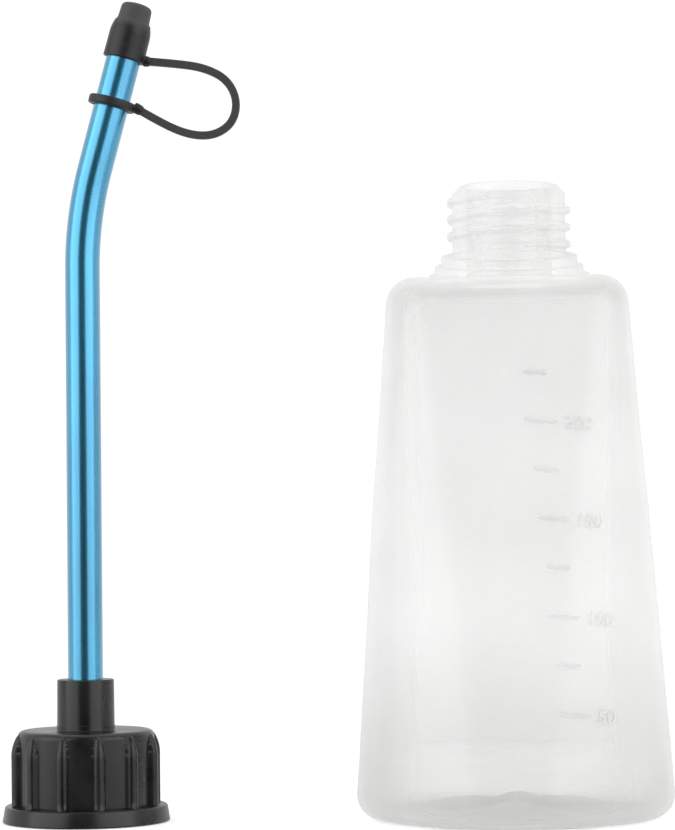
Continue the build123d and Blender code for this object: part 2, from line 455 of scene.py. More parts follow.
@dataclass(frozen=True)
class MilkyPolyethylene:
    """Blow-moulded natural polyethylene: milky, soft gloss, faint orange peel."""

    name: str = "milky_polyethylene"
    tint: Colour = (0.94, 0.942, 0.932, 1.0)
    shade: Colour = (0.875, 0.877, 0.867, 1.0)
    foot_tint: Colour = (0.66, 0.66, 0.65, 1.0)
    foot_height: float = 0.045
    opacity: float = 0.25
    edge_opacity: float = 0.92
    foot_opacity: float = 0.04
    gloss: tuple[float, float] = (0.17, 0.23)
    peel_depth: float = 0.0000015
    flow_depth: float = 0.0002

    def material(self) -> bpy.types.Material:
        """Makes the material."""
        skin = Surface(self.name)
        cloud = skin.noise(45.0, 2.0)
        flow = skin.noise(30.0, 3.0, (1, 1, 0.12))
        peel = skin.noise(700.0, 2.0)
        wall = skin.blend(skin.spread(cloud, 0.3, 0.7, 0, 1), self.shade, self.tint)
        height = skin.node("ShaderNodeSeparateXYZ", {}, {0: skin.place()}, "Z")
        lower = skin.spread(height, 0.0, self.foot_height, 1.0, 0.0)
        colour = skin.blend(lower, wall, self.foot_tint)
        edge = skin.node("ShaderNodeLayerWeight", {}, {"Blend": 0.3}, "Facing")
        facing = skin.spread(edge, 0.0, 1.0, self.opacity, self.edge_opacity)
        skin.set(
            Base_Color=colour,
            Roughness=skin.spread(peel, 0.3, 0.7, *self.gloss),
            Alpha=facing + lower * self.foot_opacity,
            Normal=skin.bump(peel, self.peel_depth, skin.bump(flow, self.flow_depth)),
            IOR=1.62,
        )
        return skin.material


@dataclass(frozen=True)
class MouldedPlastic:
    """Injection-moulded black plastic with a satin skin."""

    name: str = "black_cap_plastic"
    deep: Colour = (0.004, 0.004, 0.0045, 1.0)
    worn: Colour = (0.010, 0.010, 0.011, 1.0)
    gloss: tuple[float, float] = (0.25, 0.33)
    grain_depth: float = 0.000002
    drag_depth: float = 0.000004

    def material(self) -> bpy.types.Material:
        """Makes the material."""
        skin = Surface(self.name)
        patches = skin.noise(160.0, 4.0)
        grain = skin.noise(2600.0, 2.0)
        drag = skin.noise(900.0, 2.0, (1, 1, 0.06))
        colour = skin.blend(skin.spread(patches, 0.35, 0.7, 0, 1), self.deep, self.worn)
        skin.set(
            Base_Color=colour,
            Roughness=skin.spread(patches, 0.3, 0.7, *self.gloss),
            Normal=skin.bump(grain, self.grain_depth, skin.bump(drag, self.drag_depth)),
            IOR=1.5,
        )
        return skin.material


@dataclass(frozen=True)
class AnodisedAluminium:
    """Drawn aluminium tube, anodised blue, with fine lines along its length."""

    name: str = "blue_anodised_aluminium"
    light: Colour = (0.036, 0.36, 0.60, 1.0)
    dark: Colour = (0.024, 0.30, 0.52, 1.0)
    gloss: tuple[float, float] = (0.24, 0.31)
    line_depth: float = 0.000001

    def material(self) -> bpy.types.Material:
        """Makes the material."""
        skin = Surface(self.name)
        lines = skin.noise(4200.0, 3.0, (1, 1, 0.015))
        cloud = skin.noise(90.0, 3.0, (1, 1, 0.4))
        colour = skin.blend(skin.spread(cloud, 0.3, 0.7, 0, 1), self.dark, self.light)
        skin.set(
            Base_Color=colour,
            Metallic=1.0,
            Roughness=skin.spread(lines, 0.25, 0.75, *self.gloss),
            Normal=skin.bump(lines, self.line_depth),
            Coat_Weight=1.0,
            Coat_Roughness=0.2,
            Coat_IOR=1.77,
        )
        return skin.material


@dataclass(frozen=True)
class Rubber:
    """Moulded rubber, matt, lightened at random by dust, and with painted light that can lighten
    one end of a piece.
    """

    name: str
    body: Colour
    dust_and_painted_light: Colour
    gloss: float = 0.5
    painted_light_axis: tuple[float, float, float] = (0.0, 0.0, 1.0)
    painted_light_from: float = 1.0
    painted_light_to: float = 2.0
    pore_depth: float = 0.00001
    dust_depth: float = 0.00003

    def material(self) -> bpy.types.Material:
        """Makes the material."""
        skin = Surface(self.name)
        dust = skin.noise(500.0, 4.0)
        pores = skin.noise(3800.0, 2.0)
        along = skin.node(
            "ShaderNodeVectorMath",
            {"operation": "DOT_PRODUCT"},
            {0: skin.place(), 1: self.painted_light_axis},
            "Value",
        )
        # Painted light: the colour turns lighter along the axis, standing in for light falling on
        # that end.
        upper = skin.spread(along, self.painted_light_from, self.painted_light_to, 0.0, 1.0)
        # Joins the real dust, which lies at random, with that painted light.
        dust_and_painted_light_share = skin.spread(dust * 0.6 + upper * 0.75, 0.25, 0.95, 0.0, 1.0)
        skin.set(
            Base_Color=skin.blend(dust_and_painted_light_share, self.body, self.dust_and_painted_light),
            Roughness=self.gloss + dust_and_painted_light_share * 0.22 + dust * 0.06,
            Normal=skin.bump(pores, self.pore_depth, skin.bump(dust, self.dust_depth)),
            IOR=1.5,
        )
        return skin.material


@dataclass(frozen=True)
class LinerFoam:
    """Expanded polyethylene of the liner: off-white, with fine closed cells."""

    name: str = "liner_foam"
    tint: Colour = (0.74, 0.73, 0.70, 1.0)
    shade: Colour = (0.56, 0.55, 0.52, 1.0)
    cell_depth: float = 0.00006

    def material(self) -> bpy.types.Material:
        """Makes the material."""
        skin = Surface(self.name)
        inputs = {"Vector": skin.place(), "Scale": 2200.0}
        cells = skin.node("ShaderNodeTexVoronoi", {}, inputs, "Distance")
        skin.set(
            Base_Color=skin.blend(skin.spread(cells, 0.0, 0.6, 0, 1), self.tint, self.shade),
            Roughness=0.75 + cells * 0.15,
            Normal=skin.bump(cells, self.cell_depth),
        )
        return skin.material


@dataclass(frozen=True)
class StudioPaper:
    """Plain pale paper of the studio floor."""

    name: str = "studio_paper"
    tint: Colour = (0.93, 0.93, 0.93, 1.0)
    glow: float = 0.36
    fade_from: float = 0.13
    fade_to: float = 0.235

    def material(self) -> bpy.types.Material:
        """Makes the material, which thins out towards the rim."""
        skin = Surface(self.name)
        settings = {"operation": "LENGTH"}
        reach = skin.node("ShaderNodeVectorMath", settings, {0: skin.place()}, "Value")
        fibres = skin.noise(900.0, 3.0)
        shade = grey(self.tint[0] * 0.985)
        skin.set(
            Base_Color=skin.blend(fibres, shade, self.tint),
            Roughness=0.9,
            Alpha=skin.spread(reach, self.fade_from, self.fade_to, 1.0, 0.0),
            Specular_IOR_Level=0.0,
            Emission_Color=(1.0, 1.0, 1.0, 1.0),
            Emission_Strength=self.glow,
        )
        return skin.material


def dress(piece: bpy.types.Object, material: bpy.types.Material) -> None:
    """Gives a piece one material."""
    piece.data.materials.clear()
    piece.data.materials.append(material)


# ---- bottle ------------------------------------------------------------------


OCTAGON_SIDES = ((1, 1), (1, 1), (-1, 1), (-1, 1), (-1, -1), (-1, -1), (1, -1), (1, -1))


@dataclass
class Thread:
    """Helical ridge on a round wall."""

    start: float
    turns: float
    pitch: float = 3.5
    depth: float = 1.05
    root: float = 2.2
    crest: float = 0.9
    run_out: float = 0.09
    phase: float = 0.0

    def relief(self, angles: np.ndarray, height: float) -> np.ndarray:
        """Height of the ridge over its wall.

        Args:
            angles: Angles round the axis.
            height: Level along the axis.

        Returns:
            How far the ridge stands off the wall at each angle.
        """
        share = np.mod(angles - self.phase, FULL_TURN) / FULL_TURN
        made = np.zeros_like(angles)
        for lap in range(math.ceil(self.turns)):
            place = share + lap
            middle = self.start + self.pitch * place
            slope = (self.root - self.crest) / 2
            flank = smooth(1 - (np.abs(height - middle) - self.crest / 2) / slope)
            ends = smooth(place / self.run_out) * smooth((self.turns - place) / self.run_out)
            made = np.maximum(made, self.depth * flank * ends)
        return made


@dataclass
class Bottle:
    """Blow-moulded bottle: four flats, four soft corner panels, threaded neck, raised scale."""

    shoulder: float = 108.6
    turn: float = math.radians(-5.5)
    base_flat: float = 32.6
    top_flat: float = 23.7
    base_corner_past: float = -0.5
    top_corner_past: float = 6.7
    base_rounding: float = 28.0
    top_rounding: float = 7.0
    wall: float = 1.0
    base_edge: float = 5.2
    shoulder_edge: float = 5.0
    push_up_radius: float = 23.0
    push_up_depth: float = 2.4
    push_up_lobe: float = 1.3
    neck_radius: float = 11.55
    neck_length: float = 19.9
    mouth_radius: float = 8.7
    lip_bevel: float = 1.75
    collar_steps: tuple[tuple[float, float], ...] = ((4.85, 1.8), (3.65, 3.6), (2.35, 5.6))
    collar_rounding: float = 0.55
    thread: Thread = field(
        default_factory=lambda: Thread(start=115.425, turns=3.0, phase=-EIGHTH * 2)
    )
    thread_rows: float = 0.25
    waviness: float = 0.12
    arc_steps: int = 10
    run_steps: int = 10
    mark_proud: float = 0.38
    mark_sink: float = 0.3
    mark_width: float = 0.85
    mark_lengths: tuple[float, float] = (6.4, 4.6)
    mark_count: int = 8
    mark_first: tuple[float, float] = (10.0, 22.2)
    mark_step: tuple[float, float] = (-0.97, 9.55)
    mark_slant: float = math.radians(-6.0)
    figure_size: float = 3.7
    figure_depth: float = 0.22
    figure_bevel: float = 0.06
    figure_gap: float = 1.3
    figure_step: int = 25
    figure_first: int = 50

    @property
    def columns(self) -> int:
        """Points in each row."""
        return 8 * (self.arc_steps + self.run_steps)

    @property
    def lip(self) -> float:
        """Height of the lip."""
        return self.shoulder + self.neck_length

    def angles(self) -> np.ndarray:
        """Even angles of the columns, in step with the outline's corners."""
        step = EIGHTH / (self.arc_steps + self.run_steps)
        first = EIGHTH / 2 - step * self.arc_steps / 2
        return first + step * np.arange(self.columns) + self.turn

    def outline(self, height: float, inset: float) -> np.ndarray:
        """Cross-section of the body, which runs straight from the base's to the shoulder's.

        Args:
            height: Level above the base.
            inset: How far inside the outer wall.

        Returns:
            Its points, round the axis.
        """
        share = height / self.shoulder
        return mix(self.end_outline(0.0, inset), self.end_outline(1.0, inset), share)

    def end_outline(self, share: float, inset: float) -> np.ndarray:
        """Cross-section at the base or at the shoulder.

        Args:
            share: 0 at the base, 1 at the shoulder.
            inset: How far inside the outer wall.

        Returns:
            Its points, round the axis.
        """
        flat = mix(self.base_flat, self.top_flat, share) - inset
        corner = flat + mix(self.base_corner_past, self.top_corner_past, share)
        half = corner * math.sqrt(2) - flat
        shortest = min(half, flat * math.sqrt(2) - corner)
        named = mix(self.base_rounding, self.top_rounding, share) - inset
        rounding = min(max(named, 0.4), 0.98 * shortest / math.tan(EIGHTH / 2))
        arcs = []
        for index, (side, rise) in enumerate(OCTAGON_SIDES):
            near, far = (half, flat) if index % 4 in (1, 2) else (flat, half)
            middle = EIGHTH * (index + 0.5)
            back = rounding / math.cos(EIGHTH / 2)
            centre = np.array([side * near, rise * far])
            centre = centre - back * np.array([math.cos(middle), math.sin(middle)])
            sweep = np.linspace(EIGHTH * index, EIGHTH * (index + 1), self.arc_steps + 1)
            arcs.append(centre + rounding * np.stack([np.cos(sweep), np.sin(sweep)], 1))
        points = []
        for arc, following in zip(arcs, arcs[1:] + arcs[:1]):
            points.append(arc)
            points.append(np.linspace(arc[-1], following[0], self.run_steps + 1)[1:-1])
        flat_points = np.concatenate(points)
        c, s = math.cos(self.turn), math.sin(self.turn)
        return flat_points @ np.array([[c, s], [-s, c]])

    def wave(self, outline: np.ndarray, height: float) -> np.ndarray:
        """Slight unevenness of the blown wall, nothing at the base and shoulder."""
        angle = np.arctan2(outline[:, 1], outline[:, 0])
        share = height / self.shoulder
        held = math.sin(math.pi * min(max(share, 0.0), 1.0)) ** 0.7
        swell = (
            np.sin(3 * angle + 5.1 * share + 0.4)
            + 0.7 * np.sin(5 * angle - 9.3 * share + 1.9)
            + 0.5 * np.sin(9 * angle + 14.0 * share + 0.7)
        )
        return self.waviness * held * swell

    def body_row(self, height: float, inset: float) -> np.ndarray:
        """Row of the body's wall, that far inside the outer wall."""
        outline = self.outline(height, inset)
        length = np.linalg.norm(outline, axis=1, keepdims=True)
        moved = outline * (1 + self.wave(outline, height)[:, None] / length)
        up = np.full((len(moved), 1), height)
        return np.hstack([moved, up])

    def ring(self, radius: Field, height: Field) -> np.ndarray:
        """Round row about the bottle's axis."""
        return round_row(self.angles(), radius, height)

    def push_up(self, lift: float) -> list[np.ndarray]:
        """Rows of the hollow under the base, from its middle out.

        Args:
            lift: Height of this surface over the underside.

        Returns:
            The rows.
        """
        sphere = (self.push_up_radius**2 + self.push_up_depth**2) / (2 * self.push_up_depth)
        lobes = self.push_up_lobe * np.cos(4 * (self.angles() - self.turn))
        rows = []
        for share in np.linspace(0.04, 1.0, 14):
            radius = self.push_up_radius * share
            drop = sphere - math.sqrt(sphere**2 - radius**2)
            held = math.sin(math.pi * share)
            rows.append(self.ring(radius, self.push_up_depth - drop + lobes * held + lift))
        return rows

    def heel(self, rounding: float, inset: float) -> list[np.ndarray]:
        """Rows of the rounded edge at the base, from the underside up."""
        rows = []
        for turn in np.linspace(0, math.pi / 2, 9):
            level = inset + rounding * (1 - math.cos(turn))
            rows.append(self.body_row(level, inset + rounding * (1 - math.sin(turn))))
        return rows

    def brow(self, rounding: float, inset: float) -> list[np.ndarray]:
        """Rows of the rounded edge at the shoulder, from the wall up."""
        rows = []
        top = self.shoulder - inset
        for turn in np.linspace(0, math.pi / 2, 8):
            level = top - rounding * (1 - math.sin(turn))
            rows.append(self.body_row(level, inset + rounding * (1 - math.cos(turn))))
        return rows

    def outer_rows(self) -> list[np.ndarray]:
        """Rows of the outside, from the middle of the underside to the lip."""
        rows = self.push_up(0.0)
        rows[-1][:, 2] = 0.0
        heel = self.heel(self.base_edge, 0.0)
        rows += [mix(rows[-1], heel[0], share) for share in (0.35, 0.7)]
        rows += heel
        low, high = self.base_edge, self.shoulder - self.shoulder_edge
        rows += [self.body_row(level, 0.0) for level in np.linspace(low, high, 42)[1:-1]]
        rows += self.brow(self.shoulder_edge, 0.0)
        corners = [Corner(self.neck_radius + self.collar_steps[0][0] + 1.2, self.shoulder)]
        level = self.shoulder
        for proud, rise in self.collar_steps:
            radius = self.neck_radius + proud
            corners.append(Corner(radius, level, 0.35))
            level = self.shoulder + rise
            corners.append(Corner(radius, level, self.collar_rounding))
        corners.append(Corner(self.neck_radius, level, 0.6))
        corners.append(Corner(self.neck_radius, level + 0.6))
        profile = rounded_profile(corners)
        brim = self.ring(*profile[0])
        rows += [mix(rows[-1], brim, share) for share in (0.3, 0.65)]
        rows += [self.ring(radius, height) for radius, height in profile]
        bevel_foot = self.lip - self.lip_bevel
        for height in np.arange(level + 0.8, bevel_foot - 0.05, self.thread_rows):
            relief = self.thread.relief(self.angles(), height)
            rows.append(self.ring(self.neck_radius + relief, height))
        lip = [
            Corner(self.neck_radius, bevel_foot - 0.1),
            Corner(self.neck_radius, bevel_foot, 0.4),
            Corner(self.neck_radius - self.lip_bevel, self.lip, 0.5),
            Corner(self.mouth_radius, self.lip, 0.35),
            Corner(self.mouth_radius, self.lip - 1.5),
        ]
        rows += [self.ring(radius, height) for radius, height in rounded_profile(lip)]
        return rows

    def inner_rows(self) -> list[np.ndarray]:
        """Rows of the inside, from the bore down to the middle of the floor."""
        ceiling = self.shoulder - self.wall
        bore = np.linspace(self.lip - 2.5, ceiling + 1.0, 12)
        rows = [self.ring(self.mouth_radius, height) for height in bore]
        mouth = [
            Corner(self.mouth_radius, ceiling + 0.8),
            Corner(self.mouth_radius, ceiling, 0.7),
            Corner(self.mouth_radius + 1.5, ceiling),
        ]
        rows += [self.ring(radius, height) for radius, height in rounded_profile(mouth)]
        brow = self.brow(self.shoulder_edge - self.wall, self.wall)[::-1]
        rows += [mix(rows[-1], brow[0], share) for share in (0.35, 0.7)]
        rows += brow
        low, high = self.base_edge, self.shoulder - self.shoulder_edge
        rows += [self.body_row(level, self.wall) for level in np.linspace(high, low, 42)[1:-1]]
        heel = self.heel(self.base_edge - self.wall, self.wall)[::-1]
        floor = self.push_up(self.wall)[::-1]
        floor[0][:, 2] = self.wall
        rows += heel
        rows += [mix(heel[-1], floor[0], share) for share in (0.35, 0.7)]
        return rows + floor

    def shell(self) -> bpy.types.Object:
        """Builds the bottle as one closed wall."""
        grid = Grid("bottle_shell", self.outer_rows() + self.inner_rows())
        return grid.build(Ends.POLES)

    def front(self, x: float, height: float) -> float:
        """Depth of the front wall at a place on it."""
        row = self.body_row(height, 0.0)
        ahead = row[row[:, 1] < 0]
        ahead = ahead[np.argsort(ahead[:, 0])]
        return float(np.interp(x, ahead[:, 0], ahead[:, 1]))

    def laid(self, points: np.ndarray, x: float, height: float) -> np.ndarray:
        """Lays flat points onto the front wall.

        Args:
            points: Along, up, and off the wall.
            x: Place of their origin across the wall.
            height: Place of their origin up the wall.

        Returns:
            Points in space.
        """
        c, s = math.cos(self.mark_slant), math.sin(self.mark_slant)
        made = []
        for along, up, off in points:
            px, pz = x + c * along - s * up, height + s * along + c * up
            made.append((px, self.front(px, pz) - off, pz))
        return np.array(made)

    def mark(self, index: int) -> bpy.types.Object:
        """Builds one raised mark with a rounded top."""
        x, height = self.mark_place(index)
        long = self.mark_lengths[index % 2] / 2 - self.mark_width / 2
        wide = self.mark_width / 2
        grid = Grid(f"mark_{index}")
        turns = np.linspace(0, FULL_TURN, 32, endpoint=False)
        crown = ((1.0, 0.12), (0.85, 0.22), (0.55, 0.28), (0.15, self.mark_proud))
        for size, off in ((1.0, -self.mark_sink), *crown):
            along = long * np.sign(np.cos(turns)) + wide * size * np.cos(turns)
            up = wide * size * np.sin(turns)
            flat = np.stack([along, up, np.full_like(up, off)], 1)
            grid.add(self.laid(flat, x, height))
        return grid.build(Ends.FLAT)

    def mark_place(self, index: int) -> tuple[float, float]:
        """Middle of one mark on the front wall."""
        return (
            self.mark_first[0] + self.mark_step[0] * index,
            self.mark_first[1] + self.mark_step[1] * index,
        )

    def figure(self, index: int) -> bpy.types.Object:
        """Builds the raised number beside one long mark."""
        x, height = self.mark_place(index)
        text = bpy.data.curves.new(f"figure_{index}", "FONT")
        text.body = str(self.figure_first + self.figure_step * index)
        text.size = self.figure_size
        text.extrude = self.figure_depth
        text.bevel_depth = self.figure_bevel
        text.align_y = "CENTER"
        text.resolution_u = 4
        mesh = curve_mesh(text)
        flat = np.array([tuple(v.co) for v in mesh.vertices])
        flat[:, 0] += self.mark_lengths[0] / 2 + self.figure_gap
        faces = [tuple(p.vertices) for p in mesh.polygons]
        return made_object(text.name, self.laid(flat, x, height) * MM, faces)

    def build(self) -> list[bpy.types.Object]:
        """Builds and dresses the bottle and its scale."""
        plastic = MilkyPolyethylene().material()
        raised = MilkyPolyethylene(name="raised_polyethylene", opacity=0.6).material()
        shell = self.shell()
        marks = joined("scale_marks", [self.mark(i) for i in range(self.mark_count)])
        figures = joined("scale_numbers", [self.figure(i) for i in range(0, self.mark_count, 2)])
        for piece, skin in ((shell, plastic), (marks, raised), (figures, raised)):
            dress(piece, skin)
            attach(piece, "bottle")
        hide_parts("bottle")
        return [shell, marks, figures]


# ---- screw cap ---------------------------------------------------------------


@dataclass
class ScrewCap:
    """Black screw cap: ribbed skirt, flared foot, and the boss that grips the spout."""

    axis: float = -87.2
    bore: float = 12.85
    skirt: float = 13.85
    top: float = 18.45
    ceiling: float = 16.05
    rim_rounding: float = 1.3
    foot_height: float = 3.3
    foot_proud: tuple[float, float] = (3.15, 2.6)
    rib_count: int = 12
    rib_turn: float = math.radians(15)
    rib_proud: float = 1.45
    rib_width: float = 2.6
    rib_top_gap: float = 0.5
    rib_taper: float = 4.6
    rib_blend: float = 0.16
    boss_top: float = 28.7
    tube_bore: float = 3.6
    boss_walls: tuple[float, float, float] = (2.15, 2.24, 2.32)
    collar_gap: float = 0.1
    collar_height: float = 1.0
    seal_depth: float = 4.5
    seal_reach: float = 4.58
    seal_section: float = 1.0
    thread: Thread = field(default_factory=lambda: Thread(start=5.2, turns=2.0))
    thread_rows: float = 0.32
    columns: int = 432

    def angles(self) -> np.ndarray:
        """Angles of the columns."""
        return np.linspace(0, FULL_TURN, self.columns, endpoint=False)

    def ring(self, radius: Field, height: float) -> np.ndarray:
        """Round row about the cap's axis."""
        return round_row(self.angles(), radius, height, self.axis)

    def ribs(self, height: float) -> np.ndarray:
        """How far the ribs stand off the skirt.

        Args:
            height: Level above the foot.

        Returns:
            The relief at each column.
        """
        pitch = FULL_TURN / self.rib_count
        off = np.mod(self.angles() - self.rib_turn + pitch / 2, pitch) - pitch / 2
        side = np.abs(off) * (self.skirt + self.rib_proud / 2)
        point = self.top - self.rib_top_gap
        rise = max(height - (point - self.rib_taper), 0.0)
        arc = (self.rib_proud**2 + self.rib_taper**2) / (2 * self.rib_proud)
        proud = self.rib_proud - arc + math.sqrt(max(arc**2 - rise**2, 0.0))
        share = min(max(proud / self.rib_proud, 0.0), 1.0)
        if share < 0.01 or rise >= self.rib_taper:
            return np.zeros_like(side)
        half = self.rib_width / 2 * share**0.75
        inside = np.clip(1 - (side / half) ** 2, 0, None)
        bulge = proud * np.sqrt(inside) ** 0.8
        outside = -2.5 * np.clip(side - half, 0, None)
        shape = np.where(side < half, bulge, outside)
        return np.maximum(soft_max(shape, np.zeros_like(shape), self.rib_blend * share), 0.0)

    def wall(self, height: float) -> float:
        """Radius of the skirt, which rounds off into the top."""
        rise = max(height - self.top + self.rim_rounding, 0.0)
        reach = math.sqrt(max(self.rim_rounding**2 - rise**2, 0.0))
        return self.skirt - self.rim_rounding + reach

    def skirt_rows(self) -> list[np.ndarray]:
        """Rows of the ribbed skirt, from the flared foot up round the rim."""
        point = self.top - self.rib_top_gap
        rim = self.top - self.rim_rounding
        plain = np.linspace(self.foot_height + 0.3, point - self.rib_taper, 9)
        tapering = np.linspace(point - self.rib_taper, rim, 26)[1:]
        turns = np.linspace(0, math.pi / 2, 13)[1:-1]
        levels = np.concatenate([plain, tapering, rim + self.rim_rounding * np.sin(turns)])
        return [self.ring(self.wall(h) + self.ribs(h), h) for h in levels]

    def profile(self) -> tuple[list[Corner], list[Corner]]:
        """Corners below the skirt, and from the skirt's top over the boss to the bore."""
        below = [
            Corner(self.bore, 0.0),
            Corner(self.skirt + self.foot_proud[0], 0.0, 0.3),
            Corner(self.skirt + self.foot_proud[1], self.foot_height, 0.45),
            Corner(self.skirt + self.rib_proud + 0.1, self.foot_height + 0.02, 0.1),
        ]
        top_wall, waist_wall, collar_wall = self.boss_walls
        waist, collar = self.tube_bore + waist_wall, self.tube_bore + collar_wall
        seal, half = self.boss_top - self.seal_depth, self.seal_section / 2
        above = [
            Corner(self.skirt - self.rim_rounding, self.top),
            Corner(collar + 0.6, self.top),
            Corner(collar, self.top, 0.25),
            Corner(collar, self.top + self.collar_height, 0.04),
            Corner(waist, self.top + self.collar_height + self.collar_gap, 0.04),
            Corner(self.tube_bore + top_wall, self.boss_top, 0.3),
            Corner(self.tube_bore, self.boss_top, 0.25),
            Corner(self.tube_bore, seal + half, 0.05),
            Corner(self.seal_reach, seal + half, 0.05),
            Corner(self.seal_reach, seal - half, 0.05),
            Corner(self.tube_bore, seal - half, 0.05),
            Corner(self.tube_bore, self.ceiling, 0.1),
            Corner(self.bore, self.ceiling, 0.3),
            Corner(self.bore, self.ceiling - 0.8),
        ]
        return below, above

    def build(self) -> bpy.types.Object:
        """Builds and dresses the cap."""
        below, above = self.profile()
        grid = Grid("screw_cap_moulding")
        for radius, height in rounded_profile(below):
            grid.add(self.ring(radius, height))
        for row in self.skirt_rows():
            grid.add(row)
        for radius, height in rounded_profile(above, 5):
            grid.add(self.ring(radius, height))
        for height in np.arange(self.ceiling - 1.1, 0.3, -self.thread_rows):
            grid.add(self.ring(self.bore - self.thread.relief(self.angles(), height), height))
        piece = grid.build(Ends.LOOP)
        dress(piece, MouldedPlastic().material())
        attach(piece, "cap")
        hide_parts("screw_cap")
        return piece


# ---- spout -------------------------------------------------------------------


@dataclass
class Spout:
    """Bent aluminium tube with a flared foot inside the cap."""

    axis: float = -87.2
    radius: float = 3.55
    wall: float = 0.9
    foot: float = 15.95
    flare: float = 1.35
    flare_height: float = 0.9
    bend_start: float = 112.1
    bend_radius: float = 80.0
    bend: float = math.radians(15)
    upper_length: float = 28.9
    columns: int = 96

    @property
    def bend_end(self) -> np.ndarray:
        """Where the bend ends."""
        x = self.axis + self.bend_radius * (1 - math.cos(self.bend))
        return np.array([x, 0.0, self.bend_start + self.bend_radius * math.sin(self.bend)])

    @property
    def direction(self) -> np.ndarray:
        """Direction of the upper tube."""
        return np.array([math.sin(self.bend), 0.0, math.cos(self.bend)])

    def on_upper(self, distance: float) -> np.ndarray:
        """Place on the upper tube's axis, that far above the bend."""
        return self.bend_end + self.direction * distance

    def line(self) -> list[tuple[np.ndarray, float]]:
        """Places along the tube with the lean of the tube there."""
        made = []
        start = self.foot - self.flare_height
        for height in np.linspace(start, self.bend_start, 22):
            made.append((np.array([self.axis, 0.0, height]), 0.0))
        for lean in np.linspace(0, self.bend, 25)[1:]:
            x = self.axis + self.bend_radius * (1 - math.cos(lean))
            z = self.bend_start + self.bend_radius * math.sin(lean)
            made.append((np.array([x, 0.0, z]), lean))
        for distance in np.linspace(0, self.upper_length, 12)[1:]:
            made.append((self.on_upper(distance), self.bend))
        return made

    def ring(
        self, centre: np.ndarray, lean: float, radius: float, shift: float = 0.0
    ) -> np.ndarray:
        """Round row across the tube.

        Args:
            centre: Middle of the row.
            lean: Lean of the tube there.
            radius: Radius of the row.
            shift: Move along the tube.

        Returns:
            The points.
        """
        turns = np.linspace(0, FULL_TURN, self.columns, endpoint=False)
        across = np.array([math.cos(lean), 0.0, -math.sin(lean)])
        along = np.array([math.sin(lean), 0.0, math.cos(lean)])
        rim = np.outer(np.cos(turns), across) + np.outer(np.sin(turns), DEEP)
        return centre + along * shift + radius * rim

    def build(self) -> bpy.types.Object:
        """Builds and dresses the tube."""
        line = self.line()
        grid = Grid("spout_tube_drawn")
        bore = self.radius - self.wall
        foot = line[0][0]
        brim = self.radius + self.flare
        flare = [
            Corner(bore, 0.0),
            Corner(brim, 0.0, 0.25),
            Corner(brim, self.flare_height, 0.25),
            Corner(self.radius, self.flare_height, 0.2),
            Corner(self.radius, self.flare_height + 1.0),
        ]
        for radius, height in rounded_profile(flare):
            grid.add(self.ring(foot, 0.0, radius, height))
        for centre, lean in line[1:-1]:
            grid.add(self.ring(centre, lean, self.radius))
        end, lean = line[-1]
        rim = ((self.radius, -0.3), (self.radius - 0.15, 0.0), (bore + 0.1, 0.0), (bore, -0.2))
        for radius, shift in rim:
            grid.add(self.ring(end, lean, radius, shift))
        for centre, lean in line[-2:0:-1]:
            grid.add(self.ring(centre, lean, bore))
        piece = grid.build(Ends.LOOP)
        dress(piece, AnodisedAluminium().material())
        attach(piece, "spout")
        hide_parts("spout_tube")
        return piece


# ---- tip cap and its tether --------------------------------------------------

STRAP_ROUTE = (
    (-0.07350, 0.0, 0.15470),
    (-0.06760, 0.0, 0.15420),
    (-0.06190, 0.0, 0.15330),
    (-0.05730, 0.0, 0.15090),
    (-0.05520, 0.0, 0.14660),
    (-0.05610, 0.0, 0.14200),
    (-0.05980, 0.0, 0.13940),
    (-0.06460, 0.0, 0.13940),
    (-0.07010, 0.0, 0.14160),
    (-0.07520, 0.0, 0.14470),
)


